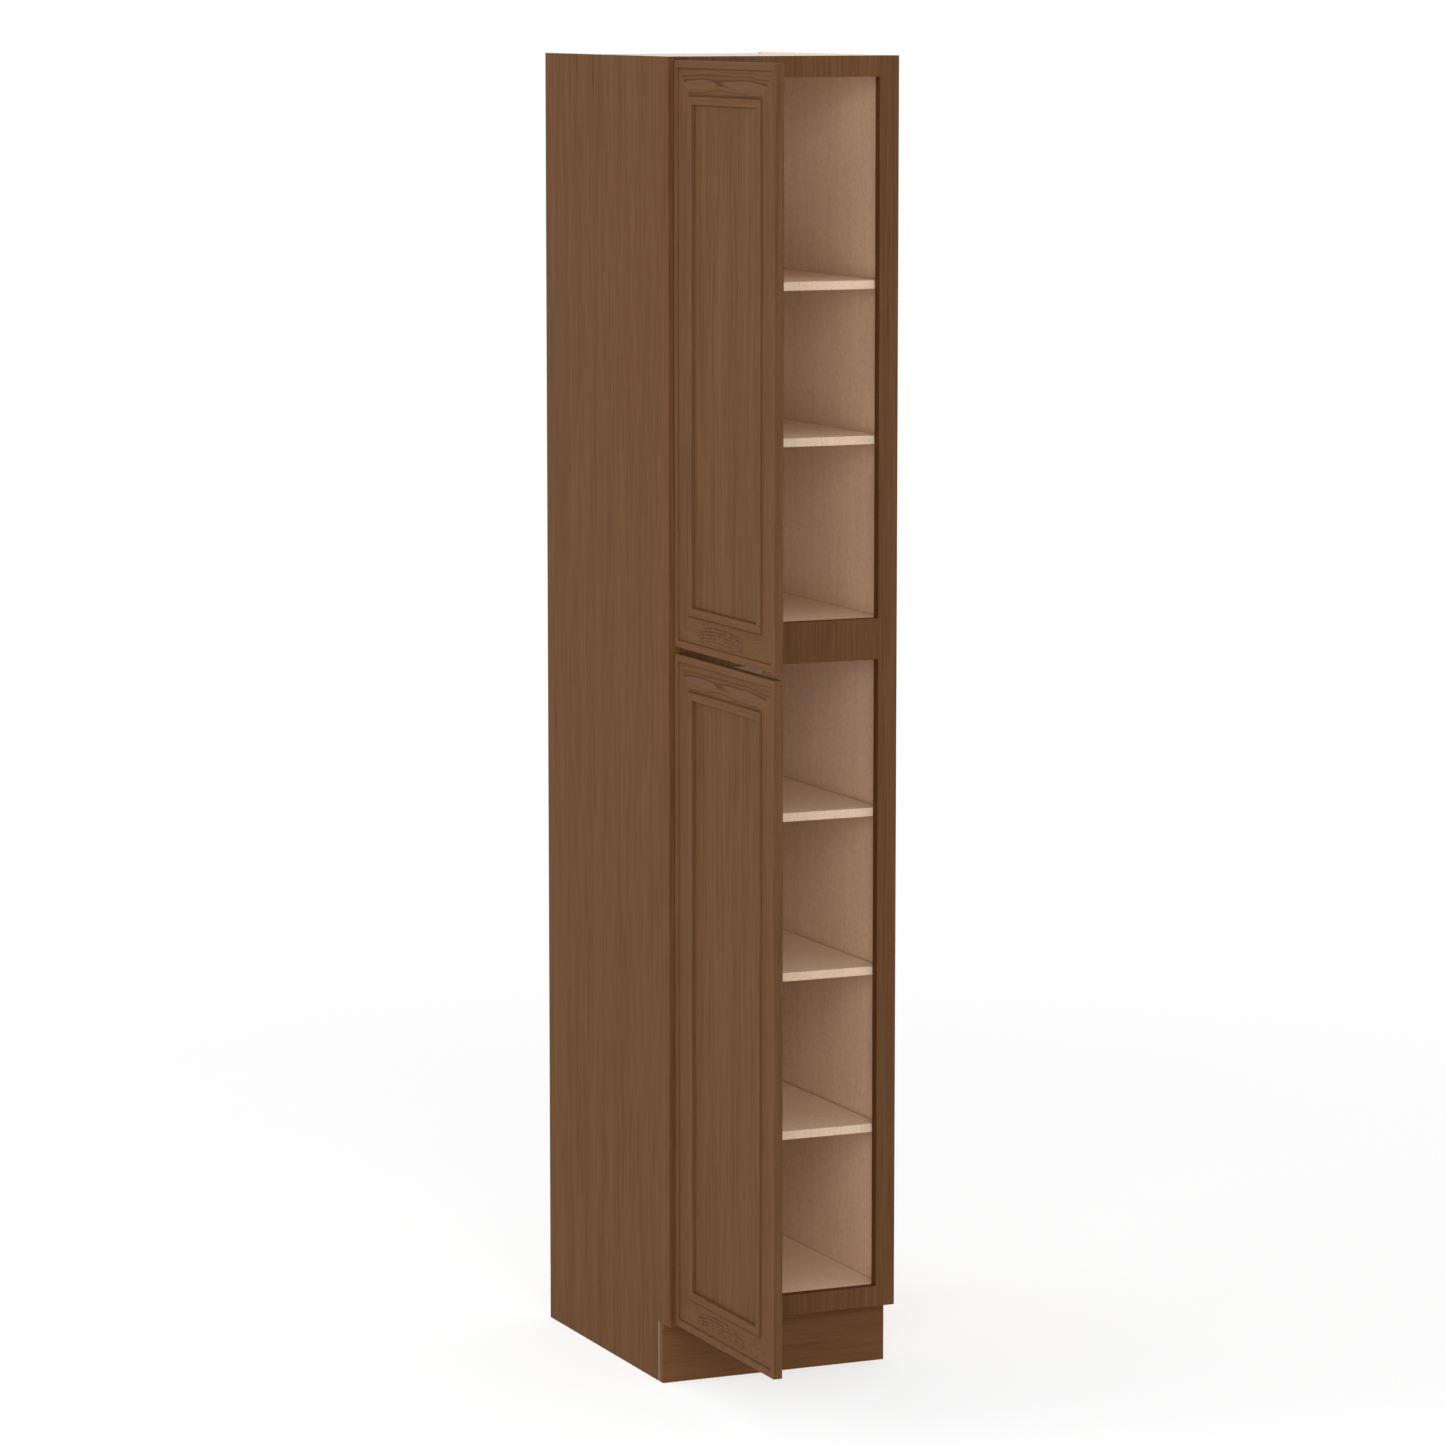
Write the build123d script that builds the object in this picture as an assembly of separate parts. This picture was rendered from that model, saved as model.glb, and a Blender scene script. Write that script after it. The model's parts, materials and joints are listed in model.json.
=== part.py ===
from build123d import *
import math
import os

# A tall face-frame pantry cabinet with two full-overlay doors and five loose shelves.
# Millimetres, +Z up. The origin is on the floor, against the wall, midway between the sides.
# The cabinet faces -Y. Both doors are modelled at rest standing open at a right angle.

INCH = 25.4

# Overall size
WIDTH = 18 * INCH
HEIGHT = 96 * INCH
DEPTH = 23.25 * INCH  # wall to the front of the face frame
LEFT = -WIDTH / 2
RIGHT = WIDTH / 2
FRONT = -DEPTH

# Face frame
FRAME_T = 0.75 * INCH
STILE_W = 1.5 * INCH
TOE_H = 4.4375 * INCH
TOP_RAIL_H = 1.5 * INCH
MID_RAIL_H = 3 * INCH
MID_RAIL_TOP = 55.48 * INCH
BOTTOM_RAIL_H = 1.5 * INCH
FRAME_EASE = 0.6

# Plywood carcass
PANEL_T = 12.7
SKIN_T = 6.35  # finished end skin on the left, and the frame's overhang on the right
DADO = 6.0
TOP_DROP = 3.2  # top panel below the upper edge of the sides
BACK_T = 4.8
BACK_PLAY = 0.1
BACK_SIDE_PLAY = 0.5
HANG_T = 19.05
HANG_H = 76.0
INNER_LEFT = LEFT + SKIN_T + PANEL_T
INNER_RIGHT = RIGHT - SKIN_T - PANEL_T
CARCASS_FRONT = FRONT + FRAME_T
BACK_FRONT = -HANG_T - BACK_T

# Toe kick, set back from the face frame
TOE_RECESS = 33.0
TOE_FACING_T = 14.5
TOE_BOARD_T = 6.35
TOE_NOTCH = TOE_RECESS + TOE_FACING_T + TOE_BOARD_T

# Shelves: the height of each shelf's top
UPPER_SHELVES = (68.69 * INCH, 79.91 * INCH)
LOWER_SHELVES = (17.95 * INCH, 29.70 * INCH, 41.46 * INCH)
SHELF_T = 16.0
SHELF_FRONT = FRONT + INCH
SHELF_GAP = 2.0
SHELF_BACK_GAP = 3.0
BAND_T = 1.0

# Shelf pins
PIN_R = 2.45
PIN_HOLE_R = 2.5
PIN_HOLE_DEPTH = 9.0
PIN_STEM = 8.0
COLLAR_R = 4.0
COLLAR_T = 1.0
PAD_REACH = 10.0
PAD_W = 7.0
PAD_H = 3.0
PAD_NOSE = 1.8
PIN_ROWS = (SHELF_FRONT + 50, BACK_FRONT - 60)

# Doors
DOOR_T = 17.5
DOOR_GAP = 3.0  # behind a closed door
SIDE_REVEAL = 7.95
END_REVEAL = 6.35
MID_GAP = 12.7
DOOR_W = WIDTH - 2 * SIDE_REVEAL
MID_CENTRE = MID_RAIL_TOP - MID_RAIL_H / 2
UPPER_DOOR = (MID_CENTRE + MID_GAP / 2, HEIGHT - END_REVEAL)
LOWER_DOOR = (TOE_H + END_REVEAL, MID_CENTRE - MID_GAP / 2)
OPEN_ANGLE = -90

# How far a cut reaches past the face that it starts from
PAST = 1.0

# Door moulding: how far in from the door's edge each step is, and how deep
MARGIN_W = 12.7
STEP_W = 1.4
FIELD_DEPTH = 3.2
FIELD_END = 61.6
BEAD_START = 63.0
BEAD_END = 77.5
MEMBER_W = 78.8
MOULD_EASE = 0.6
EDGE_EASE = 1.0
PANEL_RECESS = 6.3
PANEL_BOARD_T = 6.35
PANEL_PLAY = 0.1
GROOVE_DEPTH = 9.8
PANEL_EDGE_PLAY = 1.5

# Biscuits in the mitred corners
KEY_LONG = 30.0
KEY_WIDE = 20.0
KEY_T = 3.2
KEY_INSET = 38.0
KEY_DEPTH = 10.0

# Concealed hinges
PIVOT_IN = 15.9  # from the frame's left edge
PIVOT_OUT = 13.4  # in front of the frame
HINGE_END = 90.0  # from a door's end to its outer hinges
CUP_R = 17.4
CUP_HOLE_R = 17.5
CUP_INNER_R = 16.5
CUP_DEPTH = 13.0
CUP_FLOOR = 0.5
CUP_TAB = 3.0
FLANGE_R = 19.0
FLANGE_T = 1.2
WING_LONG = 54.0
WING_WIDE = 15.0
WING_CORNER = 5.0
CUP_SCREW_SPREAD = 22.5
CUP_SCREW_OFFSET = 9.5
HINGE_PIN_R = 1.0
HINGE_PIN_HALF = 10.9
KNUCKLE_R = 1.9
KNUCKLE_PLAY = 0.05
ARM_T = 1.6
ARM_OFFSET = 0.2
ARM_HALF_W = 4.0
PLATE_HALF_H = 21.0
PLATE_CORNER = 4.0
PLATE_FRONT = 0.5
PLATE_BACK = 17.0
PLATE_SCREW_SPREAD = 14.0
PLATE_SCREW_Y = 9.5

# Wood screws
SCREW_R = 1.6
SCREW_TIP = 1.1
SCREW_PLAY = 0.05
SCREW_HEAD_R = 3.3
SCREW_HEAD_T = 1.2
SCREW_LENGTH = 11.0
PILOT_PLAY = 0.5
SLOT_W = 0.8
SLOT_L = 4.0
SLOT_DEPTH = 0.6

# Dowels of the face frame, and door bumpers
DOWEL_R = 4.0
DOWEL_PLAY = 0.05
DOWEL_HALF = 24.0
DOWEL_END_PLAY = 1.0
DOWEL_SPREAD = 9.0  # each side of the middle of the top and bottom rails
MID_DOWEL_SPREAD = 22.0
BUMPER_R = 4.0
BUMPER_T = 2.6
BUMPER_INSET = 14.0

PIVOT_X = LEFT + PIVOT_IN
PIVOT_Y = FRONT - PIVOT_OUT
DOOR_LEFT = LEFT + SIDE_REVEAL
DOOR_RIGHT = RIGHT - SIDE_REVEAL
DOOR_BACK = FRONT - DOOR_GAP
DOOR_FACE = DOOR_BACK - DOOR_T


def block(x0, x1, y0, y1, z0, z1):
    """A box given by its two corners."""
    centre = Pos((x0 + x1) / 2, (y0 + y1) / 2, (z0 + z1) / 2)
    return centre * Box(x1 - x0, y1 - y0, z1 - z0)


def rod_x(x0, x1, y, z, radius):
    """A round bar along X."""
    return Pos((x0 + x1) / 2, y, z) * Rot(0, 90, 0) * Cylinder(radius, x1 - x0)


def rod_y(x, y0, y1, z, radius):
    """A round bar along Y."""
    return Pos(x, (y0 + y1) / 2, z) * Rot(90, 0, 0) * Cylinder(radius, y1 - y0)


def save(name, pieces):
    """Writes one node. Several pieces stay separate solids in it."""
    pieces = pieces if isinstance(pieces, list) else [pieces]
    shape = pieces[0] if len(pieces) == 1 else Compound(children=pieces)
    export_step(shape, f"parts/{name}.step")


# ---- Screws ----


def screw(length):
    """A pan-head wood screw along -Z with its head's underside at z = 0 and a cross recess."""
    head = Pos(0, 0, SCREW_HEAD_T / 2) * Cylinder(SCREW_HEAD_R, SCREW_HEAD_T)
    rim = head.edges().filter_by(GeomType.CIRCLE).sort_by(Axis.Z)[-1]
    head = fillet(rim, SCREW_HEAD_T / 2)
    shank = Pos(0, 0, -length / 2) * Cylinder(SCREW_R, length)
    tip = shank.edges().filter_by(GeomType.CIRCLE).sort_by(Axis.Z)[0]
    shank = chamfer(tip, SCREW_TIP)
    slot = Pos(0, 0, SCREW_HEAD_T - SLOT_DEPTH / 2)
    cross = slot * Box(SLOT_W, SLOT_L, SLOT_DEPTH) + slot * Box(SLOT_L, SLOT_W, SLOT_DEPTH)
    return head + shank - cross


# ---- Face frame ----


def dowel_places():
    """Where the rails are pegged to the stiles: (side, height) pairs."""
    rails = (
        (TOE_H + BOTTOM_RAIL_H / 2, DOWEL_SPREAD),
        (MID_CENTRE, MID_DOWEL_SPREAD),
        (HEIGHT - TOP_RAIL_H / 2, DOWEL_SPREAD),
    )
    return [(side, z + s) for side in (-1, 1) for z, spread in rails for s in (-spread, spread)]


def dowel(side, z, radius, half):
    """A peg across the joint between a rail's end and the stile on that side."""
    joint = side * (RIGHT - STILE_W)
    return rod_x(joint - half, joint + half, FRONT + FRAME_T / 2, z, radius)


def dowel_holes():
    return [
        dowel(side, z, DOWEL_R + DOWEL_PLAY, DOWEL_HALF + DOWEL_END_PLAY)
        for side, z in dowel_places()
    ]


def stile(side):
    """A full-height upright of the face frame, eased along its two front edges."""
    x0, x1 = sorted((side * RIGHT, side * (RIGHT - STILE_W)))
    board = block(x0, x1, FRONT, CARCASS_FRONT, TOE_H, HEIGHT)
    front_edges = board.edges().filter_by(Axis.Z).group_by(Axis.Y)[0]
    board = fillet(front_edges, FRAME_EASE)
    for hole in dowel_holes():
        board -= hole
    return board


def rail(z0, z1, eased):
    """A cross member between the stiles. eased lists the heights of its eased front edges."""
    board = block(LEFT + STILE_W, RIGHT - STILE_W, FRONT, CARCASS_FRONT, z0, z1)
    front_edges = board.edges().filter_by(Axis.X).group_by(Axis.Y)[0]
    chosen = [e for e in front_edges if any(abs(e.center().Z - z) < 0.01 for z in eased)]
    board = fillet(chosen, FRAME_EASE)
    for hole in dowel_holes():
        board -= hole
    return board


def make_face_frame():
    left = stile(-1)
    for z in hinge_heights(UPPER_DOOR) + hinge_heights(LOWER_DOOR):
        for hole in plate_screw_holes(z):
            left -= hole
    save("left_stile", left)
    save("right_stile", stile(1))
    mid_low = MID_RAIL_TOP - MID_RAIL_H
    bottom_top = TOE_H + BOTTOM_RAIL_H
    top_low = HEIGHT - TOP_RAIL_H
    save("top_rail", rail(top_low, HEIGHT, [top_low, HEIGHT]))
    save("mid_rail", rail(mid_low, MID_RAIL_TOP, [mid_low, MID_RAIL_TOP]))
    save("bottom_rail", rail(TOE_H, bottom_top, [TOE_H, bottom_top]))
    save("face_frame_dowels", [dowel(side, z, DOWEL_R, DOWEL_HALF) for side, z in dowel_places()])


# ---- Carcass ----


def deck_levels():
    """The underside and top of each fixed horizontal panel."""
    top = HEIGHT - TOP_DROP
    bottom = TOE_H + BOTTOM_RAIL_H
    tops = {"top_panel": top, "middle_deck": MID_RAIL_TOP, "bottom_deck": bottom}
    return {name: (z - PANEL_T, z) for name, z in tops.items()}


def toe_notch(x0, x1):
    """The space that is cut out of a side for the toe kick."""
    return block(x0 - PAST, x1 + PAST, CARCASS_FRONT - PAST, FRONT + TOE_NOTCH, -PAST, TOE_H)


def side_panel(side):
    """A plywood side with its toe notch, dados, back groove and shelf-pin holes."""
    inner = INNER_RIGHT if side > 0 else INNER_LEFT
    x0, x1 = sorted((inner, inner + side * PANEL_T))
    board = block(x0, x1, CARCASS_FRONT, 0, 0, HEIGHT) - toe_notch(x0, x1)
    cut0, cut1 = sorted((inner - side * PAST, inner + side * DADO))
    for z0, z1 in deck_levels().values():
        board -= block(cut0, cut1, CARCASS_FRONT - PAST, BACK_FRONT, z0, z1)
    groove_front = BACK_FRONT - BACK_PLAY
    board -= block(cut0, cut1, groove_front, -HANG_T, -PAST, HEIGHT - TOP_DROP)
    hole0, hole1 = sorted((inner - side * PAST, inner + side * PIN_HOLE_DEPTH))
    for top in UPPER_SHELVES + LOWER_SHELVES:
        for y in PIN_ROWS:
            board -= rod_x(hole0, hole1, y, pin_height(top), PIN_HOLE_R)
    return board


def make_carcass():
    save("left_side_panel", side_panel(-1))
    save("right_side_panel", side_panel(1))
    skin = block(LEFT, LEFT + SKIN_T, CARCASS_FRONT, 0, 0, HEIGHT)
    save("left_end_skin", skin - toe_notch(LEFT, LEFT + SKIN_T))
    for name, (z0, z1) in deck_levels().items():
        deck = block(INNER_LEFT - DADO, INNER_RIGHT + DADO, CARCASS_FRONT, BACK_FRONT, z0, z1)
        save(name, deck)
    back_left = INNER_LEFT - DADO + BACK_SIDE_PLAY
    back_right = INNER_RIGHT + DADO - BACK_SIDE_PLAY
    save("back_panel", block(back_left, back_right, BACK_FRONT, -HANG_T, 0, HEIGHT - TOP_DROP))
    hang_tops = {
        "top_hang_rail": HEIGHT - TOP_DROP,
        "middle_hang_rail": MID_RAIL_TOP,
        "bottom_hang_rail": HANG_H,
    }
    for name, top in hang_tops.items():
        save(name, block(INNER_LEFT, INNER_RIGHT, -HANG_T, 0, top - HANG_H, top))
    toe_right = RIGHT - SKIN_T
    toe_front = FRONT + TOE_RECESS
    toe_middle = toe_front + TOE_FACING_T
    save("toe_facing", block(LEFT, toe_right, toe_front, toe_middle, 0, TOE_H))
    save("toe_board", block(LEFT, toe_right, toe_middle, toe_middle + TOE_BOARD_T, 0, TOE_H))


# ---- Shelves and their pins ----


def pin_height(shelf_top):
    """The height of a shelf pin's centre line under a shelf."""
    return shelf_top - SHELF_T - PAD_H / 2


def shelf_pin(side, y, z):
    """A peg in the side panel, with a collar at the panel and a flat pad under the shelf."""
    wall = INNER_RIGHT if side > 0 else INNER_LEFT
    stem0, stem1 = sorted((wall + side * PIN_STEM, wall - side * COLLAR_T))
    pin = rod_x(stem0, stem1, y, z, PIN_R)
    collar0, collar1 = sorted((wall, wall - side * COLLAR_T))
    collar = rod_x(collar0, collar1, y, z, COLLAR_R)
    collar &= block(collar0, collar1, y - COLLAR_R, y + COLLAR_R, z - COLLAR_R, z + PAD_H / 2)
    pad0, pad1 = sorted((wall, wall - side * PAD_REACH))
    pad = block(pad0, pad1, y - PAD_W / 2, y + PAD_W / 2, z - PAD_H / 2, z + PAD_H / 2)
    nose = pad.edges().filter_by(Axis.Y).group_by(Axis.X)
    nose = nose[0] if side > 0 else nose[-1]
    pad = fillet(nose.sort_by(Axis.Z)[0], PAD_NOSE)
    return pin + collar + pad


def shelf_pins(tops):
    return [shelf_pin(side, y, pin_height(z)) for z in tops for side in (-1, 1) for y in PIN_ROWS]


def make_shelf(name, top):
    """A loose board with a veneer band glued along its front edge."""
    x0, x1 = INNER_LEFT + SHELF_GAP, INNER_RIGHT - SHELF_GAP
    back = BACK_FRONT - SHELF_BACK_GAP
    band_back = SHELF_FRONT + BAND_T
    save(name, block(x0, x1, band_back, back, top - SHELF_T, top))
    band = block(x0, x1, SHELF_FRONT, band_back, top - SHELF_T, top)
    front_edges = band.edges().filter_by(Axis.X).group_by(Axis.Y)[0]
    save(name + "_edge_band", fillet(front_edges, BAND_T / 2))


def make_shelves():
    save("upper_shelf_pins", shelf_pins(UPPER_SHELVES))
    save("lower_shelf_pins", shelf_pins(LOWER_SHELVES))
    for prefix, tops in (("upper_shelf_", UPPER_SHELVES), ("lower_shelf_", LOWER_SHELVES)):
        for number, top in enumerate(tops, 1):
            make_shelf(prefix + str(number), top)


# ---- Hinges ----


def hinge_heights(door):
    """Three hinges: one near each end of the door and one in the middle."""
    low, high = door
    return [low + HINGE_END, (low + high) / 2, high - HINGE_END]


def plate_screw_holes(z):
    inner = LEFT + STILE_W
    y = FRONT + PLATE_SCREW_Y
    radius = SCREW_R + SCREW_PLAY
    heights = (z - PLATE_SCREW_SPREAD, z + PLATE_SCREW_SPREAD)
    x0, x1 = inner - SCREW_LENGTH - PILOT_PLAY, inner + ARM_T + PAST
    return [rod_x(x0, x1, y, h, radius) for h in heights]


def hinge_arm(z):
    """The fixed half: a knuckle on the pin, an arm bent out of the cup, and a plate on the stile."""
    inner = LEFT + STILE_W
    low, high = PIVOT_Y - ARM_OFFSET - ARM_T, PIVOT_Y - ARM_OFFSET
    z0, z1 = z - ARM_HALF_W, z + ARM_HALF_W
    arm = block(PIVOT_X, inner + ARM_T, low, high, z0, z1)
    arm += block(inner, inner + ARM_T, low, FRONT + PLATE_BACK, z0, z1)
    outer_bend = arm.edges().filter_by(Axis.Z).group_by(Axis.Y)[0].sort_by(Axis.X)[-1]
    arm = fillet(outer_bend, ARM_T)
    arm += Pos(PIVOT_X, PIVOT_Y, z) * Cylinder(KNUCKLE_R, 2 * ARM_HALF_W)
    bore = Cylinder(HINGE_PIN_R + KNUCKLE_PLAY, 2 * (ARM_HALF_W + PAST))
    arm -= Pos(PIVOT_X, PIVOT_Y, z) * bore
    plate_y = (FRONT + PLATE_FRONT, FRONT + PLATE_BACK)
    plate = block(inner, inner + ARM_T, *plate_y, z - PLATE_HALF_H, z + PLATE_HALF_H)
    plate = fillet(plate.edges().filter_by(Axis.X), PLATE_CORNER)
    arm += plate
    for hole in plate_screw_holes(z):
        arm -= hole
    return arm


def plate_screws(z):
    """The two screws that hold an arm's plate to the stile's inner edge."""
    head = LEFT + STILE_W + ARM_T
    heights = (z - PLATE_SCREW_SPREAD, z + PLATE_SCREW_SPREAD)
    turned = Rot(0, 90, 0) * screw(SCREW_LENGTH)
    return [Pos(head, FRONT + PLATE_SCREW_Y, h) * turned for h in heights]


def cup_centre():
    """The X of the hinge cups with the door closed."""
    return DOOR_LEFT + CUP_TAB + CUP_R


def hinge_pin(z):
    """The pin across a cup, on which the arm's knuckle turns."""
    return Pos(PIVOT_X, PIVOT_Y, z) * Cylinder(HINGE_PIN_R, 2 * HINGE_PIN_HALF)


def hinge_cup(z):
    """A pressed cup let into the door's back, with a flange and two screw wings."""
    x = cup_centre()
    mouth = DOOR_BACK + FLANGE_T
    floor = DOOR_BACK - CUP_DEPTH
    wing_x = x + CUP_SCREW_OFFSET
    wing_y = (DOOR_BACK, mouth)
    half = WING_LONG / 2
    wings = block(wing_x - WING_WIDE / 2, wing_x + WING_WIDE / 2, *wing_y, z - half, z + half)
    wings = fillet(wings.edges().filter_by(Axis.Y), WING_CORNER)
    cup = rod_y(x, DOOR_BACK, mouth, z, FLANGE_R) + wings
    cup += rod_y(x, floor, mouth, z, CUP_R)
    cup -= rod_y(x, floor + CUP_FLOOR, mouth + PAST, z, CUP_INNER_R)
    for spread in (-CUP_SCREW_SPREAD, CUP_SCREW_SPREAD):
        cup -= rod_y(wing_x, DOOR_BACK - PAST, mouth + PAST, z + spread, SCREW_R + SCREW_PLAY)
    return cup - hinge_pin(z)


def cup_screws(z):
    x = cup_centre() + CUP_SCREW_OFFSET
    y = DOOR_BACK + FLANGE_T
    turned = Rot(-90, 0, 0) * screw(SCREW_LENGTH)
    return [Pos(x, y, z + s) * turned for s in (-CUP_SCREW_SPREAD, CUP_SCREW_SPREAD)]


def make_hinge_arms():
    screws = []
    for name, door in (("upper_hinge_arms", UPPER_DOOR), ("lower_hinge_arms", LOWER_DOOR)):
        heights = hinge_heights(door)
        save(name, [hinge_arm(z) for z in heights])
        for z in heights:
            screws += plate_screws(z)
    save("hinge_arm_screws", screws)


# ---- Doors ----


def member_section():
    """A door frame member's section: x runs in from the door's edge, y back from its face."""
    groove_start = MEMBER_W - GROOVE_DEPTH
    groove_back = PANEL_RECESS + PANEL_BOARD_T + 2 * PANEL_PLAY
    corners = [
        (0, 0),
        (MARGIN_W, 0),
        (MARGIN_W + STEP_W, FIELD_DEPTH),
        (FIELD_END, FIELD_DEPTH),
        (BEAD_START, 0),
        (BEAD_END, 0),
        (MEMBER_W, PANEL_RECESS),
        (groove_start, PANEL_RECESS),
        (groove_start, groove_back),
        (MEMBER_W, groove_back),
        (MEMBER_W, DOOR_T),
        (0, DOOR_T),
    ]
    section = Polygon(*corners, align=None)

    def near(points):
        found = section.vertices()
        return [v for v in found if any(math.dist((v.X, v.Y), p) < 0.01 for p in points)]

    section = fillet(near([corners[0], corners[-1]]), EDGE_EASE)
    return fillet(near(corners[1:6]), MOULD_EASE)


def frame_member(length):
    """A moulded length with both ends mitred, lying along Z."""
    bar = extrude(member_section(), amount=length)
    wide = MEMBER_W + PAST
    outline = Polygon((0, 0), (wide, wide), (wide, length - wide), (0, length), align=None)
    return bar & extrude(Plane.XZ * outline, amount=-DOOR_T)


def corner_keys(low, high):
    """Four plywood biscuits across the mitres, halfway through the door's thickness."""
    keys = []
    for x, x_turn in ((DOOR_LEFT + KEY_INSET, 1), (DOOR_RIGHT - KEY_INSET, -1)):
        for z, z_turn in ((low + KEY_INSET, 1), (high - KEY_INSET, -1)):
            turn = Rot(0, -45 * x_turn * z_turn, 0)
            keys.append(Pos(x, DOOR_FACE + KEY_DEPTH, z) * turn * Box(KEY_LONG, KEY_T, KEY_WIDE))
    return keys


def door_frame(low, high):
    """The four mitred members of a closed door, by name."""
    upright = frame_member(high - low)
    across = frame_member(DOOR_W)
    return {
        "hinge_stile": Pos(DOOR_LEFT, DOOR_FACE, low) * upright,
        "latch_stile": Pos(DOOR_RIGHT, DOOR_FACE, low) * mirror(upright, about=Plane.YZ),
        "bottom_rail": Pos(DOOR_RIGHT, DOOR_FACE, low) * Rot(0, -90, 0) * across,
        "top_rail": Pos(DOOR_LEFT, DOOR_FACE, high) * Rot(0, 90, 0) * across,
    }


def door_panel(low, high):
    """The flat centre panel, loose in the grooves of the frame."""
    edge = MEMBER_W - GROOVE_DEPTH + PANEL_EDGE_PLAY
    front = DOOR_FACE + PANEL_RECESS + PANEL_PLAY
    back = front + PANEL_BOARD_T
    return block(DOOR_LEFT + edge, DOOR_RIGHT - edge, front, back, low + edge, high - edge)


def bumper(z):
    """A soft stop on the door's back, near the edge away from the hinges."""
    stop = rod_y(DOOR_RIGHT - BUMPER_INSET, DOOR_BACK, DOOR_BACK + BUMPER_T, z, BUMPER_R)
    rim = stop.edges().filter_by(GeomType.CIRCLE).sort_by(Axis.Y)[-1]
    return fillet(rim, BUMPER_T / 2)


def swung_open(piece):
    return piece.rotate(Axis((PIVOT_X, PIVOT_Y, 0), (0, 0, 1)), OPEN_ANGLE)


def make_door(prefix, door):
    low, high = door
    heights = hinge_heights(door)
    pieces = door_frame(low, high)
    keys = corner_keys(low, high)
    for name in pieces:
        for key in keys:
            pieces[name] -= key
    for z in heights:
        hole = rod_y(cup_centre(), DOOR_BACK - CUP_DEPTH, DOOR_BACK + PAST, z, CUP_HOLE_R)
        pieces["hinge_stile"] -= hole
        for spread in (-CUP_SCREW_SPREAD, CUP_SCREW_SPREAD):
            x = cup_centre() + CUP_SCREW_OFFSET
            tip = DOOR_BACK + FLANGE_T - SCREW_LENGTH - PILOT_PLAY
            pilot = rod_y(x, tip, DOOR_BACK + PAST, z + spread, SCREW_R + SCREW_PLAY)
            pieces["hinge_stile"] -= pilot
    pieces["panel"] = door_panel(low, high)
    pieces["mitre_keys"] = keys
    pieces["hinge_cups"] = [hinge_cup(z) for z in heights]
    pieces["hinge_pins"] = [hinge_pin(z) for z in heights]
    pieces["cup_screws"] = [s for z in heights for s in cup_screws(z)]
    pieces["bumpers"] = [bumper(z) for z in (low + BUMPER_INSET, high - BUMPER_INSET)]
    for name, piece in pieces.items():
        group = piece if isinstance(piece, list) else [piece]
        save(prefix + name, [swung_open(p) for p in group])


os.makedirs("parts", exist_ok=True)
make_carcass()
make_face_frame()
make_shelves()
make_hinge_arms()
make_door("upper_door_", UPPER_DOOR)
make_door("lower_door_", LOWER_DOOR)
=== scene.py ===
"""A tall pantry cabinet with both doors standing open: finishes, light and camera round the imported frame."""

import json
import math

import bpy
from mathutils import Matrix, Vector


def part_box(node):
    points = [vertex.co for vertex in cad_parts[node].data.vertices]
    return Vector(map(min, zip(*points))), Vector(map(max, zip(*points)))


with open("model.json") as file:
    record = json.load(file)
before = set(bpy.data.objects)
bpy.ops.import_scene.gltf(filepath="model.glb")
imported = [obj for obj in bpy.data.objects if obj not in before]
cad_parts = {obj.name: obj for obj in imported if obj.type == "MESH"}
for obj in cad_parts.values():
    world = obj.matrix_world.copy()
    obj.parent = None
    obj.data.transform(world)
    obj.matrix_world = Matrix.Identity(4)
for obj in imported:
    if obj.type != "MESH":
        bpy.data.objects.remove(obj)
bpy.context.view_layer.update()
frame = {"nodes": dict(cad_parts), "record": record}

# ---- Colours, linear ----

SKIN_BROWN = (0.0920, 0.0400, 0.0153)
DOOR_BROWN = (0.0920, 0.0410, 0.0168)
FRAME_BROWN = (0.0950, 0.0425, 0.0190)
TOE_BROWN = (0.100, 0.0450, 0.0198)
MAPLE = (0.75, 0.535, 0.375)
# Lighter than MAPLE: painted light, as if more light fell on the shelves' tops
SHELF_MAPLE_LIGHTENED = (0.77, 0.565, 0.405)
BARE_TOP = (0.69, 0.58, 0.47)
EDGE_CREAM = (0.57, 0.425, 0.305)
# Darker than MAPLE: painted shade on the back panel's inner face
BACK_MAPLE_SHADED = (0.46, 0.35, 0.26)
PLYWOOD = (0.42, 0.31, 0.20)
BEECH = (0.56, 0.38, 0.22)
NICKEL = (0.60, 0.58, 0.54)
ZINC = (0.66, 0.64, 0.58)
RUBBER = (0.30, 0.27, 0.23)

# How the darkest and lightest grain differ from a stained board's own colour
DARK_GRAIN = (0.72, 0.68, 0.60)
LIGHT_GRAIN = (1.14, 1.26, 1.30)
RED_CAST = (1.02, 0.985, 0.99)
GREEN_CAST = (0.985, 1.02, 1.00)
HEART_CAST = (0.98, 1.08, 1.42)
RIM_CAST = (1.08, 1.18, 1.16)
# Dark growth rings, and the painted shade in the corners of a door's moulding
RING_AND_CORNER_SHADE_CAST = (0.62, 0.58, 0.60)
# Painted light: the door edges' colour, shifted for how light falls on them
DOOR_EDGE_LIGHT_CAST = (0.94, 0.98, 1.09)
# Painted shade where shelves and decks meet the walls
WALL_SHADE_CAST = (0.35, 0.33, 0.30)
PORE_CAST = (0.54, 0.48, 0.47)
# Painted shade on the face frame's edges towards the openings and on its faces turned up or down
FRAME_EDGE_SHADE_CAST = (1.15, 0.98, 0.76)
PLY_EDGE_CAST = (0.34, 0.32, 0.30)


def tinted(colour, cast):
    return tuple(c * k for c, k in zip(colour, cast))


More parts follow.
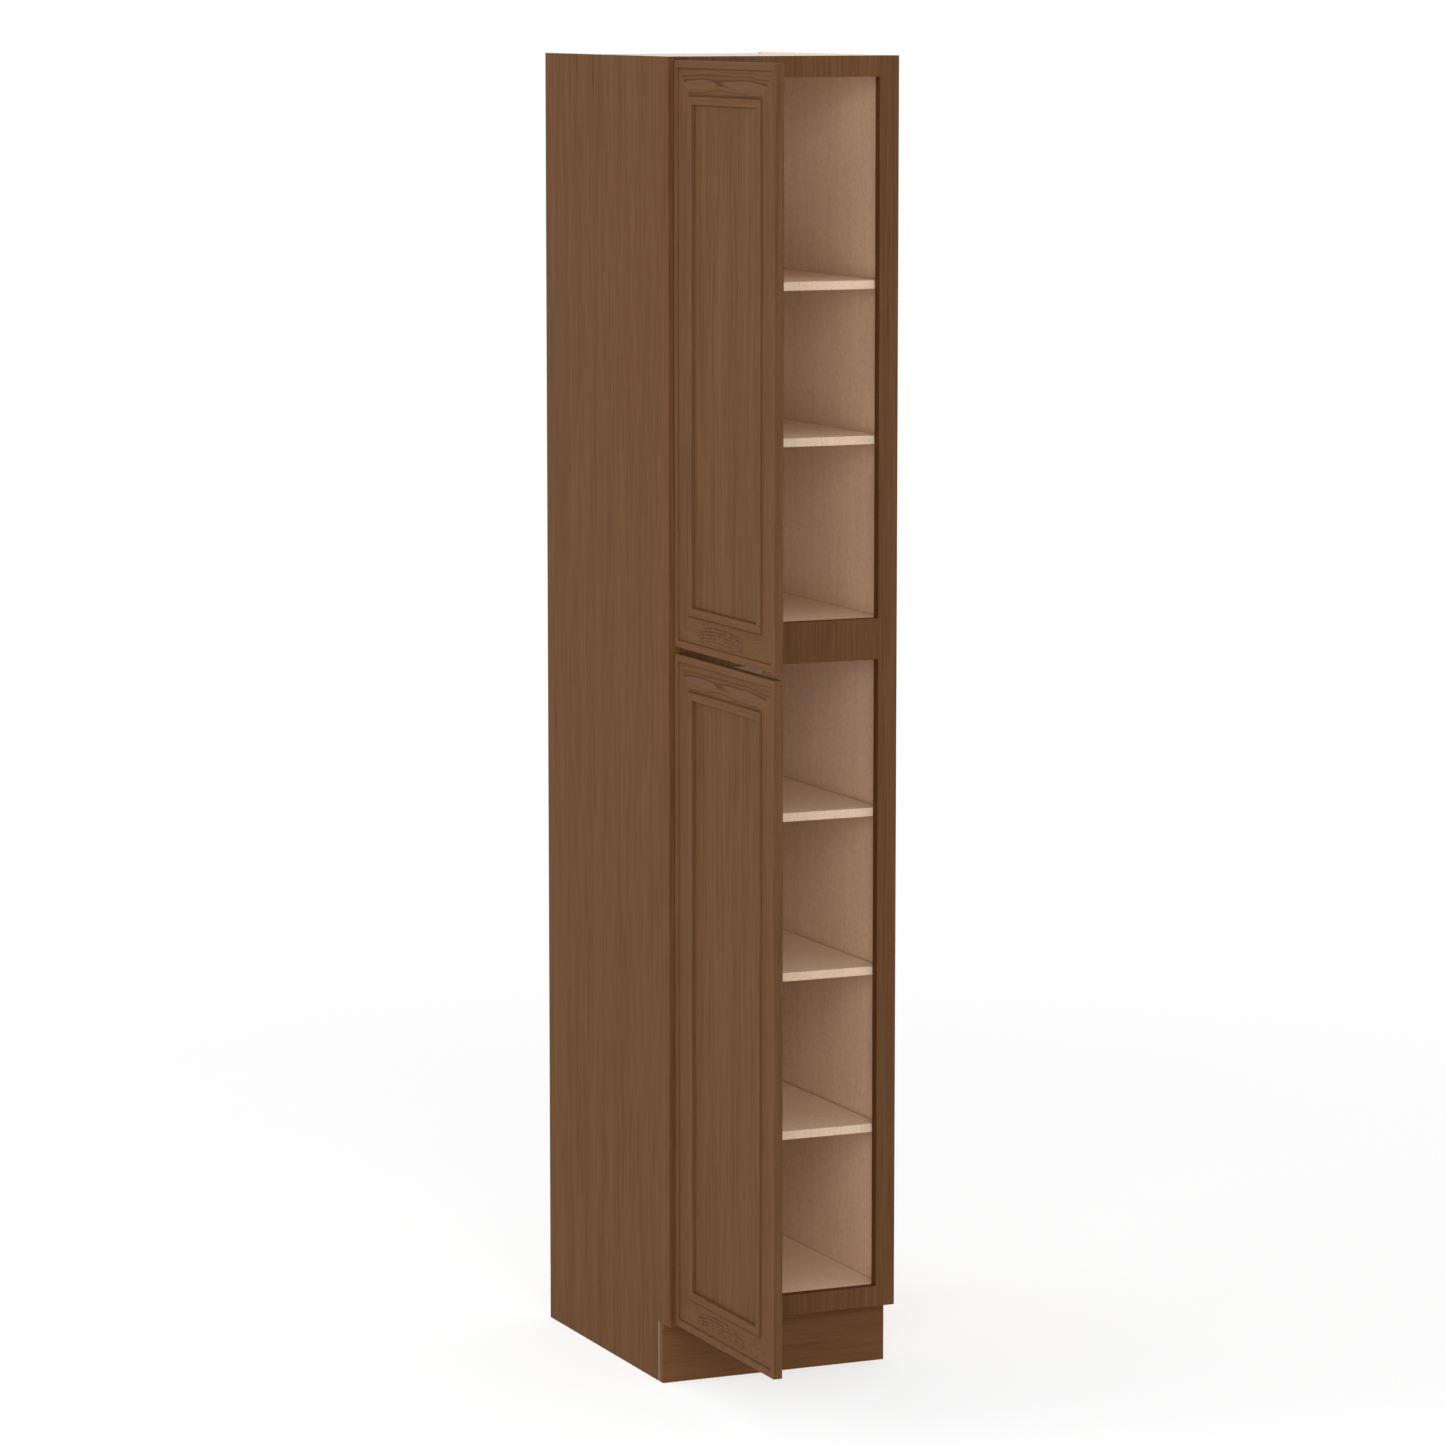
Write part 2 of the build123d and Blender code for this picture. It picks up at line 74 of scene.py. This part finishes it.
class Shader:
    """A material's node tree. Its methods add nodes and return their outputs."""

    def __init__(self, name):
        self.material = bpy.data.materials.new(name)
        self.material.use_nodes = True
        self.tree = self.material.node_tree
        self.surface = self.tree.nodes["Principled BSDF"]
        own = self.tree.nodes.new("ShaderNodeTexCoord").outputs
        self.place = own["Object"]
        self.facing = own["Normal"]

    def feed(self, socket, value):
        """Links a socket to another node's output, or sets its value."""
        if isinstance(value, bpy.types.NodeSocket):
            self.tree.links.new(value, socket)
        elif socket.type == "RGBA":
            socket.default_value = (*value, 1)
        else:
            socket.default_value = value

    def add(self, kind, values, **settings):
        node = self.tree.nodes.new("ShaderNode" + kind)
        for key, value in settings.items():
            setattr(node, key, value)
        for key, value in values.items():
            self.feed(node.inputs[key], value)
        return node

    def math(self, operation, a, b=0.0, c=0.0):
        return self.add("Math", {0: a, 1: b, 2: c}, operation=operation).outputs[0]

    def axes(self, point):
        return self.add("SeparateXYZ", {"Vector": point}).outputs

    def span(self, value, low, high, to_low=0.0, to_high=1.0):
        """Carries value from one range to another, and stops at its ends."""
        values = {"Value": value, "From Min": low, "From Max": high, "To Min": to_low, "To Max": to_high}
        return self.add("MapRange", values).outputs["Result"]

    def noise(self, point, scale, detail=2.0, roughness=0.5, distortion=0.0):
        """Noise whose scale is one number, or three, in cycles a metre along X, Y and Z."""
        stretch = scale if isinstance(scale, tuple) else (scale, scale, scale)
        point = self.add("Mapping", {"Vector": point, "Scale": stretch}).outputs[0]
        values = {"Vector": point, "Scale": 1.0, "Detail": detail}
        values.update({"Roughness": roughness, "Distortion": distortion})
        return self.add("TexNoise", values).outputs[0]

    def ramp(self, value, stops):
        """Colours along value: a list of (position, colour)."""
        node = self.add("ValToRGB", {"Fac": value})
        elements = node.color_ramp.elements
        while len(elements) < len(stops):
            elements.new(0.5)
        for element, (position, colour) in zip(elements, stops):
            element.position = position
            element.color = (*colour, 1)
        return node.outputs["Color"]

    def mix(self, factor, a, b, blend_type="MIX"):
        node = self.tree.nodes.new("ShaderNodeMix")
        node.data_type = "RGBA"
        node.blend_type = blend_type
        for socket, value in ((0, factor), (6, a), (7, b)):
            self.feed(node.inputs[socket], value)
        return node.outputs[2]

    def total(self, weighted):
        """The sum of outputs, each times its weight."""
        result = None
        for value, weight in weighted:
            result = self.math("MULTIPLY_ADD", value, weight, 0.0 if result is None else result)
        return result

    def relief(self, height, distance, strength=1.0):
        bump = self.add("Bump", {"Height": height, "Distance": distance, "Strength": strength})
        self.feed(self.surface.inputs["Normal"], bump.outputs["Normal"])

    def finish(self, **sockets):
        """Sets the shader's own sockets, named with _ for each space."""
        for key, value in sockets.items():
            self.feed(self.surface.inputs[key.replace("_", " ")], value)
        return self.material


def along(axis, length_scale, cross_scale):
    """A noise scale drawn out along one axis, in cycles a metre."""
    return tuple(length_scale if axis == name else cross_scale for name in "XYZ")


# ---- Stained wood ----


def stain(shader, tone, hue, colour):
    """Colour from a tone of 0 to 1 and a slow drift between redder and greener."""
    stops = [
        (0.0, tinted(colour, DARK_GRAIN)),
        (0.5, colour),
        (1.0, tinted(colour, LIGHT_GRAIN)),
    ]
    drift = shader.ramp(hue, [(0.3, RED_CAST), (0.7, GREEN_CAST)])
    return shader.mix(1.0, shader.ramp(tone, stops), drift, "MULTIPLY")


def slow_drift(shader, axis, length_scale=1.1):
    """Broad soft bands along one axis, for a stained board's hue."""
    return shader.noise(shader.place, along(axis, length_scale, 60.0), detail=1.0)


def straight_grain(shader, axis, contrast=1.0, streak_scale=180.0):
    """(tone, fibres): soft bands, narrow streaks and fine fibres that run along one axis."""
    bands = shader.noise(shader.place, along(axis, 1.0, 22.0), detail=3.0)
    streaks = shader.noise(shader.place, along(axis, 4.0, streak_scale), detail=3.0, roughness=0.75)
    fibres = shader.noise(shader.place, along(axis, 16.0, 900.0), detail=2.0)
    mixed = shader.total([(bands, 0.20), (streaks, 0.58), (fibres, 0.22)])
    half = 0.20 / contrast
    return shader.span(mixed, 0.5 - half, 0.5 + half), fibres


def lacquer(shader, colour, fibres):
    """A thin satin lacquer, through which the pores still show."""
    shader.relief(fibres, 0.00012, 0.35)
    roughness = shader.span(fibres, 0.35, 0.65, 0.52, 0.44)
    return shader.finish(Base_Color=colour, Roughness=roughness, Specular_IOR_Level=0.02)


def stained_board(name, colour, axis, contrast=1.0):
    shader = Shader(name)
    tone, fibres = straight_grain(shader, axis, contrast)
    return lacquer(shader, stain(shader, tone, slow_drift(shader, axis), colour), fibres)


FRAME_OPENING_X = 0.192  # half the width of the face frame's opening, and a little more
# Painted light and shade on single boards of the face frame: the top rail lighter as if lit from above, the
# mid rail a little lighter and the left stile darker
FRAME_PAINTED_LIGHT = {
    "left_stile": (0.94, 0.88, 0.76),
    "top_rail": (1.10, 1.12, 1.14),
    "mid_rail": (1.05, 1.05, 1.05),
}


def frame_board(node):
    """A face-frame board, with painted shade on the edges towards the openings and on the faces turned up or
    down.
    """
    shader = Shader(node + "_wood")
    # The board's colour carries its painted light and shade from the table above
    colour = tinted(FRAME_BROWN, FRAME_PAINTED_LIGHT.get(node, (1.0, 1.0, 1.0)))
    tone, fibres = straight_grain(shader, "Z", contrast=1.6, streak_scale=400.0)
    wood = stain(shader, tone, slow_drift(shader, "Z"), colour)
    across, _, upward = shader.axes(shader.facing)
    offset = shader.math("ABSOLUTE", shader.axes(shader.place)["X"])
    inner = shader.math("LESS_THAN", offset, FRAME_OPENING_X)
    upright = shader.math("MULTIPLY", shader.math("ABSOLUTE", across), inner)
    edge = shader.math("MAXIMUM", upright, shader.math("ABSOLUTE", upward))
    # Painted shade: a redder brown on those edges and faces
    painted_edge_shade = shader.span(edge, 0.5, 0.9)
    return lacquer(shader, shader.mix(painted_edge_shade, wood, tinted(colour, FRAME_EDGE_SHADE_CAST)), fibres)


# ---- Doors ----

# Corners of the moulding where shade is painted: distance from the door's edge, half width and strength
CORNER_SHADE_LINES = ((0.0141, 0.0014, 0.85), (0.0607, 0.0026, 1.00), (0.0785, 0.0020, 0.35))
MOULDED_X = -0.2122  # the moulded side of an open door lies beyond this


def door_reach(shader, door):
    """The distance in from the nearest of a door's four edges."""
    low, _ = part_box(door + "_latch_stile")
    _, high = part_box(door + "_hinge_stile")
    axes = shader.axes(shader.place)
    gaps = [
        shader.math("SUBTRACT", axes["Y"], low.y),
        shader.math("SUBTRACT", high.y, axes["Y"]),
        shader.math("SUBTRACT", axes["Z"], low.z),
        shader.math("SUBTRACT", high.z, axes["Z"]),
    ]
    nearest = gaps[0]
    for gap in gaps[1:]:
        nearest = shader.math("MINIMUM", nearest, gap)
    return nearest


def door_lacquer(shader, door, wood, fibres, colour):
    """Lacquer for one board of a door, with painted shade in the corners of its moulding."""
    reach = door_reach(shader, door)
    corner_shade = 0.0
    for place, half, strength in CORNER_SHADE_LINES:
        off = shader.math("ABSOLUTE", shader.math("SUBTRACT", reach, place))
        corner_shade = shader.math("MAXIMUM", corner_shade, shader.span(off, half, 0.0, 0.0, strength))
    moulded = shader.math("LESS_THAN", shader.axes(shader.place)["X"], MOULDED_X)
    # Painted shade in the moulding's corners, on the moulded side of the door
    wood = shader.mix(shader.math("MULTIPLY", corner_shade, moulded), wood, tinted(colour, RING_AND_CORNER_SHADE_CAST))
    # Painted light: a shifted colour on the faces turned forward and back, the door's edges
    edge = shader.math("ABSOLUTE", shader.axes(shader.facing)["Y"])
    cast = shader.mix(shader.span(edge, 0.6, 0.95), (1.0, 1.0, 1.0), DOOR_EDGE_LIGHT_CAST)
    return lacquer(shader, shader.mix(1.0, wood, cast, "MULTIPLY"), fibres)


def door_board(door, node, colour):
    """A straight-grained upright or panel of one door."""
    shader = Shader(node + "_wood")
    tone, fibres = straight_grain(shader, "Z", contrast=1.4)
    wood = stain(shader, tone, slow_drift(shader, "Z"), colour)
    return door_lacquer(shader, door, wood, fibres, colour)


def rail_place(shader, node, down):
    """(out, up) in metres: out from the hinge edge, up from a level inside the rail's outer edge."""
    low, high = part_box(node)
    axes = shader.axes(shader.place)
    level = high.z - down if down > 0 else low.z - down
    return shader.math("SUBTRACT", high.y, axes["Y"]), shader.math("SUBTRACT", axes["Z"], level)


def wander(shader, out, up, scale, reach):
    """Pushes a place about by noise, at most this far out and up, so that a figure isn't regular."""
    noise = shader.math("SUBTRACT", shader.noise(shader.place, scale, detail=3.0), 0.5)
    return [shader.math("MULTIPLY_ADD", noise, 2 * far, start) for start, far in zip((out, up), reach)]


# The figure on a top rail, in metres: two eyes, given by their middles and half lengths from
# the hinge edge and their slopes, and the pinch between them, this far below the door's top
EYES = ((0.112, 0.070, 0.0), (0.312, 0.096, -0.035))
EYE_HALF_H = 0.0060
PINCH_OUT = 0.205
PINCH_REACH = 0.065
PINCH_DOWN = 0.0405
# Growth rings: distance in eye half heights, half width and strength. Those above follow the
# eyes, and those below are low arches
RINGS_ABOVE = ((1.40, 0.42, 1.00), (2.40, 0.42, 0.60), (3.60, 0.50, 0.25))
RINGS_BELOW = ((3.15, 0.32, 0.55), (3.95, 0.30, 0.35))
# How far the pinch draws each set in, in eye half heights
PINCH_ABOVE = 0.2
PINCH_BELOW = 1.6
CATHEDRAL_WANDER = (0.015, 0.004)
EYE_BLEND = 0.3  # how softly the two eyes' fields join
NOWHERE = 9.0  # further from the eyes, in their half heights, than any part of the rail


def rings(shader, distance, table):
    """How dark the growth rings in a table are at a distance from the eyes."""
    dark = 0.0
    for place, half, strength in table:
        off = shader.math("ABSOLUTE", shader.math("SUBTRACT", distance, place))
        dark = shader.math("MAXIMUM", dark, shader.span(off, half, half * 0.4, 0.0, strength))
    return dark


def cathedral_rail(door, node, colour):
    """Two long pale eyes with a pinch between them, under growth rings and over low arches."""
    shader = Shader(node + "_wood")
    out, up = rail_place(shader, node, PINCH_DOWN)
    out, up = wander(shader, out, up, (9.0, 9.0, 30.0), CATHEDRAL_WANDER)
    nearest = NOWHERE
    for middle, half, slope in EYES:
        from_middle = shader.math("SUBTRACT", out, middle)
        along_eye = shader.math("DIVIDE", from_middle, half)
        across_eye = shader.math("DIVIDE", shader.math("MULTIPLY_ADD", from_middle, -slope, up), EYE_HALF_H)
        square = shader.math("MULTIPLY", along_eye, along_eye)
        square = shader.math("MULTIPLY_ADD", across_eye, across_eye, square)
        nearest = shader.math("SMOOTH_MIN", nearest, shader.math("SQRT", square), EYE_BLEND)
    pinch = shader.math("DIVIDE", shader.math("SUBTRACT", out, PINCH_OUT), PINCH_REACH)
    pinch = shader.math("DIVIDE", 1.0, shader.math("MULTIPLY_ADD", pinch, pinch, 1.0))
    above = rings(shader, shader.math("MULTIPLY_ADD", pinch, PINCH_ABOVE, nearest), RINGS_ABOVE)
    depth = shader.math("DIVIDE", up, -EYE_HALF_H)
    below = rings(shader, shader.math("MULTIPLY_ADD", pinch, PINCH_BELOW, depth), RINGS_BELOW)
    side = shader.span(up, -0.004, 0.0)
    dark = shader.math("MULTIPLY_ADD", side, shader.math("SUBTRACT", above, below), below)
    tone, fibres = straight_grain(shader, "Y", contrast=0.9)
    tone = shader.math("MULTIPLY_ADD", dark, -0.70, shader.math("ADD", tone, 0.08))
    wood = stain(shader, tone, slow_drift(shader, "Y", 1.5), colour)
    wood = shader.mix(shader.math("MULTIPLY", dark, 0.75), wood, tinted(colour, RING_AND_CORNER_SHADE_CAST))
    wood = shader.mix(shader.span(nearest, 1.15, 0.95), wood, tinted(colour, RIM_CAST))
    wood = shader.mix(shader.span(nearest, 0.98, 0.72), wood, tinted(colour, HEART_CAST))
    return door_lacquer(shader, door, wood, fibres, colour)


# The figure on a bottom rail, in metres: an arch, given by its middle and half width from the
# hinge edge and its feet above the door's bottom, and a swirl beyond it
ARCH_MIDDLE = 0.205
ARCH_HALF = 0.105
ARCH_FEET = 0.026
ARCH_H = 0.0262
ARCH_ROW = 0.235  # from one row of pores to the next, in arch heights
ARCH_SAG = 0.35  # how much lower each row is at the arch's feet
ARCH_WANDER = (0.0225, 0.0035)
SWIRL = (0.358, 0.014)  # its middle, out from the hinge edge and up from the arch's feet
SWIRL_REACH = 0.045
SWIRL_RING = 0.0085
SWIRL_FLATNESS = 1.6


def arched_rail(door, node, colour):
    """Arched rows of short dark pores, and a swirl in mottled wood beside them."""
    shader = Shader(node + "_wood")
    out, up = rail_place(shader, node, -ARCH_FEET)
    out, up = wander(shader, out, up, (16.0, 16.0, 40.0), ARCH_WANDER)
    across = shader.math("DIVIDE", shader.math("SUBTRACT", out, ARCH_MIDDLE), ARCH_HALF)
    across = shader.math("POWER", shader.math("ABSOLUTE", across), 3.0)
    rise = shader.math("DIVIDE", up, ARCH_H)
    ring = shader.math("SQRT", shader.math("MULTIPLY_ADD", rise, rise, across))
    level = shader.math("MULTIPLY_ADD", across, ARCH_SAG, rise)
    rows = shader.math("COSINE", shader.math("MULTIPLY", level, 2 * math.pi / ARCH_ROW))
    inside = shader.math("MULTIPLY", shader.span(ring, 1.06, 0.94), shader.span(up, -0.010, 0.002))
    dashes = shader.span(shader.noise(shader.place, (50.0, 90.0, 130.0), detail=3.0), 0.40, 0.50)
    pores = shader.math("MULTIPLY", shader.span(rows, -0.3, 0.5), dashes)
    pores = shader.math("MULTIPLY", pores, shader.span(ring, 0.15, 0.95, 0.45, 1.0))
    pores = shader.math("MULTIPLY", pores, inside)
    swirl_out = shader.math("SUBTRACT", out, SWIRL[0])
    swirl_up = shader.math("MULTIPLY", shader.math("SUBTRACT", up, SWIRL[1]), SWIRL_FLATNESS)
    square = shader.math("MULTIPLY_ADD", swirl_up, swirl_up, shader.math("MULTIPLY", swirl_out, swirl_out))
    radius = shader.math("SQRT", square)
    curls = shader.math("COSINE", shader.math("MULTIPLY", radius, 2 * math.pi / SWIRL_RING))
    curls = shader.math("MULTIPLY", curls, shader.span(radius, SWIRL_REACH, 0.0, 0.0, 0.30))
    mottle = shader.noise(shader.place, (60.0, 60.0, 110.0), detail=4.0, roughness=0.65, distortion=1.2)
    mottle = shader.math("SUBTRACT", mottle, 0.5)
    tone, fibres = straight_grain(shader, "Y", contrast=0.8)
    tone = shader.total([(tone, 0.8), (mottle, 1.2), (pores, -0.4), (curls, -1.3)])
    wood = stain(shader, shader.math("ADD", tone, 0.12), slow_drift(shader, "Y", 1.5), colour)
    wood = shader.mix(pores, wood, tinted(colour, PORE_CAST))
    return door_lacquer(shader, door, wood, fibres, colour)


# ---- Bare and clear-coated wood ----


def pale_grain(shader, axis, colour, contrast):
    """(colour, fibres): a fine speckle over faint grain that runs along one axis."""
    grain = shader.noise(shader.place, along(axis, 3.0, 40.0), detail=3.0)
    fibres = shader.noise(shader.place, along(axis, 40.0, 700.0), detail=2.0)
    speckle = shader.noise(shader.place, along(axis, 160.0, 260.0), detail=3.0, roughness=0.75)
    mixed = shader.total([(grain, 0.16), (fibres, 0.16), (speckle, 0.68)])
    shade = 0.24 * contrast
    stops = [
        (0.0, tinted(colour, (1 - shade * 0.8, 1 - shade, 1 - shade * 1.2))),
        (0.5, colour),
        (1.0, tinted(colour, (1 + shade * 0.5, 1 + shade * 0.6, 1 + shade * 0.7))),
    ]
    shader.relief(fibres, 0.0001, 0.3)
    return shader.ramp(shader.span(mixed, 0.32, 0.68), stops), fibres


def clear_coat(shader, wood, fibres, roughness=0.5):
    satin = shader.span(fibres, 0.35, 0.65, roughness + 0.04, roughness - 0.04)
    return shader.finish(Base_Color=wood, Roughness=satin, Specular_IOR_Level=0.25)


def pale_wood(name, colour, axis, roughness=0.5):
    """Maple under a clear coat."""
    shader = Shader(name)
    wood, fibres = pale_grain(shader, axis, colour, 1.0)
    return clear_coat(shader, wood, fibres, roughness)


CABINET_TOP = 2.43  # above this height the boards are left bare, but for their outer faces
INSIDE_HALF = 0.20955  # half the width between the walls
SHELF_HALF = 0.20755  # half the width of a shelf
SEAM = 0.0016  # width of the painted shade beside the walls


def carcass_board(name, colour):
    """Clear-coated maple plywood, bare on top of the cabinet, with painted shade where a deck meets a wall."""
    shader = Shader(name)
    wood, fibres = pale_grain(shader, "Z", colour, 1.0)
    place, facing = shader.axes(shader.place), shader.axes(shader.facing)
    offset = shader.math("ABSOLUTE", place["X"])
    # Painted shade where a deck meets a wall
    wall_shade = shader.math("GREATER_THAN", offset, INSIDE_HALF - SEAM)
    wall_shade = shader.math("MULTIPLY", wall_shade, shader.span(facing["Z"], 0.5, 0.9))
    wood = shader.mix(wall_shade, wood, tinted(colour, WALL_SHADE_CAST))
    high = shader.math("GREATER_THAN", place["Z"], CABINET_TOP)
    outward = shader.math("MULTIPLY", place["X"], facing["X"])
    bare = shader.math("MULTIPLY", high, shader.math("LESS_THAN", outward, 0.1))
    wood = shader.mix(bare, wood, BARE_TOP)
    return clear_coat(shader, wood, fibres)


def shelf_board(name, colour):
    """A shelf's maple face, with painted shade where it ends at each side."""
    shader = Shader(name)
    wood, fibres = pale_grain(shader, "X", colour, 1.0)
    offset = shader.math("ABSOLUTE", shader.axes(shader.place)["X"])
    # Painted shade where the shelf ends at each side
    wall_shade = shader.math("GREATER_THAN", offset, SHELF_HALF - SEAM)
    return clear_coat(shader, shader.mix(wall_shade, wood, tinted(colour, WALL_SHADE_CAST)), fibres)


def bare_plywood(node):
    """Uncoated plywood that lies across the cabinet, darker along its cut edges.

    The face of the back panel that shows inside is a darker maple than the walls: painted shade, which also
    dims the light it throws onto the walls."""
    shader = Shader(node + "_plywood")
    axis = "Z" if node == "back_panel" else "X"
    wood, fibres = pale_grain(shader, axis, PLYWOOD, 1.3)
    backward = shader.axes(shader.facing)["Y"]
    if node == "back_panel":
        # Painted shade: the inner face darker than the walls' maple
        back_shade_cast = tuple(maple / plywood for maple, plywood in zip(BACK_MAPLE_SHADED, PLYWOOD))
        cast = shader.mix(shader.span(backward, -0.5, -0.9), (1.0, 1.0, 1.0), back_shade_cast)
        wood = shader.mix(1.0, wood, cast, "MULTIPLY")
    cut = shader.span(shader.math("ABSOLUTE", backward), 0.9, 0.5)
    wood = shader.mix(cut, wood, tinted(PLYWOOD, PLY_EDGE_CAST))
    matt = shader.span(fibres, 0.35, 0.65, 0.80, 0.70)
    return shader.finish(Base_Color=wood, Roughness=matt, Specular_IOR_Level=0.2)


# ---- Metal and rubber ----


def plated_steel(name, colour, roughness):
    """Plating with fine rolling marks and a little tarnish."""
    shader = Shader(name)
    marks = shader.noise(shader.place, (300.0, 300.0, 3000.0), detail=2.0)
    tarnish = shader.noise(shader.place, 90.0, detail=3.0)
    stops = [(0.3, tinted(colour, (0.86, 0.84, 0.80))), (0.7, colour)]
    shader.relief(marks, 0.00002, 0.3)
    satin = shader.span(marks, 0.3, 0.7, roughness - 0.06, roughness + 0.08)
    return shader.finish(Base_Color=shader.ramp(tarnish, stops), Roughness=satin, Metallic=1.0)


def moulded_rubber(name, colour):
    shader = Shader(name)
    grain = shader.noise(shader.place, 2500.0, detail=2.0)
    stops = [(0.3, tinted(colour, (0.9, 0.9, 0.9))), (0.7, tinted(colour, (1.08, 1.08, 1.08)))]
    shader.relief(grain, 0.00003, 0.4)
    return shader.finish(Base_Color=shader.ramp(grain, stops), Roughness=0.6)


# ---- Finishes for the CAD nodes ----


def shared_finishes():
    """The finishes that are the same whichever node has them, by the record's slot."""
    return {
        "end_skin_wood": stained_board("end_skin_wood", SKIN_BROWN, "Z", 1.4),
        "toe_facing_wood": stained_board("toe_facing_wood", TOE_BROWN, "X", 1.0),
        "interior_maple": carcass_board("interior_maple", MAPLE),
        "shelf_maple": shelf_board("shelf_maple", SHELF_MAPLE_LIGHTENED),
        "shelf_edge_veneer": pale_wood("shelf_edge_veneer", EDGE_CREAM, "Z"),
        "beech_dowel": pale_wood("beech_dowel", BEECH, "X", 0.7),
        "nickel_steel": plated_steel("nickel_steel", NICKEL, 0.28),
        "screw_steel": plated_steel("screw_steel", ZINC, 0.36),
        "bumper_rubber": moulded_rubber("bumper_rubber", RUBBER),
    }


def own_finish(node, slot):
    """The finish that is made for this one node, or None."""
    door = "_".join(node.split("_")[:2])
    if slot in ("door_stile_wood", "door_panel_wood"):
        return door_board(door, node, DOOR_BROWN)
    if slot == "door_top_rail_wood":
        return cathedral_rail(door, node, DOOR_BROWN)
    if slot == "door_bottom_rail_wood":
        return arched_rail(door, node, DOOR_BROWN)
    if slot == "face_frame_wood":
        return frame_board(node)
    if slot == "raw_plywood":
        return bare_plywood(node)
    return None


def dress_nodes():
    """Gives every CAD node the finish of its slot in the record."""
    shared = shared_finishes()
    for part in frame["record"]["subparts"]:
        node, slot = part["node"], part["material_slot"]
        material = own_finish(node, slot) or shared[slot]
        materials = frame["nodes"][node].data.materials
        for index in range(len(materials)):
            materials[index] = material


# ---- Floor, light and camera ----

FLOOR_SIZE = 80.0
# The floor turns from painted to evenly bright between these distances. The first is below
# zero, so it is over half bright under the cabinet
FLOOR_GLOW = (-6.0, 4.0)
BACKDROP_Y = 12.0
WORLD_STRENGTH = 0.45
LAMP_AIM = (0.0, -0.5, 1.25)
# Soft lamps: degrees to the right of the front, degrees above the aim, distance, width, brightness
LAMPS = {
    "left_lamp": (-95.0, 15.0, 8.0, 5.0, 0.60),
    "front_lamp": (-24.0, 10.0, 5.6, 4.0, 1.00),
    "top_lamp": (-24.0, 82.0, 6.0, 5.0, 0.27),
}
CAMERA_PLACE = (-4.1071, -9.6984, 2.5654)
CAMERA_YAW = 0.4124
CAMERA_DOWN = 0.1333
CAMERA_LENS = 137.04


def glowing(shader, strength):
    """Adds even white light of its own to a stage piece."""
    shader.feed(shader.surface.inputs["Emission Color"], (1, 1, 1))
    shader.feed(shader.surface.inputs["Emission Strength"], strength)


def make_floor():
    """A pale floor that runs into an evenly bright distance."""
    bpy.ops.mesh.primitive_grid_add(x_subdivisions=8, y_subdivisions=8, size=FLOOR_SIZE)
    floor = bpy.context.object
    floor.name = "floor"
    shader = Shader("floor_paint")
    away = shader.add("VectorMath", {0: shader.place}, operation="LENGTH").outputs["Value"]
    share = shader.span(away, *FLOOR_GLOW)
    cloud = shader.noise(shader.place, 1.5, detail=2.0)
    paint = shader.ramp(cloud, [(0.3, (0.88, 0.88, 0.88)), (0.7, (0.90, 0.90, 0.90))])
    colour = shader.mix(share, paint, (0.0, 0.0, 0.0))
    glowing(shader, share)
    floor.data.materials.append(shader.finish(Base_Color=colour, Roughness=0.9, Specular_IOR_Level=0.0))


def make_surround():
    """An even pale light from all round, which shows as plain white behind the cabinet."""
    world = bpy.data.worlds.new("studio")
    world.use_nodes = True
    nodes, links = world.node_tree.nodes, world.node_tree.links
    seen = nodes.new("ShaderNodeLightPath").outputs["Is Camera Ray"]
    strength = nodes.new("ShaderNodeMapRange")
    strength.inputs["To Min"].default_value = WORLD_STRENGTH
    background = nodes["Background"]
    background.inputs["Color"].default_value = (1, 1, 1, 1)
    links.new(seen, strength.inputs["Value"])
    links.new(strength.outputs["Result"], background.inputs["Strength"])
    bpy.context.scene.world = world


def make_light():
    """Soft lamps from the left, the front and above."""
    aim = Vector(LAMP_AIM)
    for name, (turn, lift, distance, width, brightness) in LAMPS.items():
        turn, lift = math.radians(turn), math.radians(lift)
        source = Vector((math.sin(turn) * math.cos(lift), -math.cos(turn) * math.cos(lift), math.sin(lift)))
        lamp = bpy.data.lights.new(name, "AREA")
        lamp.size = width
        lamp.energy = brightness * (math.pi * distance) ** 2
        holder = bpy.data.objects.new(name, lamp)
        holder.location = aim + source * distance
        holder.rotation_euler = (-source).to_track_quat("-Z", "Y").to_euler()
        bpy.context.scene.collection.objects.link(holder)


def make_backdrop():
    """A white wall far behind the cabinet, which lights its back."""
    bpy.ops.mesh.primitive_grid_add(x_subdivisions=4, y_subdivisions=4, size=FLOOR_SIZE)
    wall = bpy.context.object
    wall.name = "backdrop"
    wall.rotation_euler = (math.pi / 2, 0, 0)
    wall.location = (0, BACKDROP_Y, 0)
    shader = Shader("backdrop_paint")
    glowing(shader, 1.0)
    wall.data.materials.append(shader.finish(Base_Color=(0, 0, 0), Specular_IOR_Level=0.0))


def make_camera():
    data = bpy.data.cameras.new("camera")
    data.lens = CAMERA_LENS
    data.sensor_width = 36.0
    camera = bpy.data.objects.new("camera", data)
    camera.location = CAMERA_PLACE
    camera.rotation_euler = (math.pi / 2 - CAMERA_DOWN, 0, -CAMERA_YAW)
    bpy.context.scene.collection.objects.link(camera)
    bpy.context.scene.camera = camera


bpy.context.scene.view_settings.view_transform = "Standard"
dress_nodes()
make_floor()
make_backdrop()
make_surround()
make_light()
make_camera()
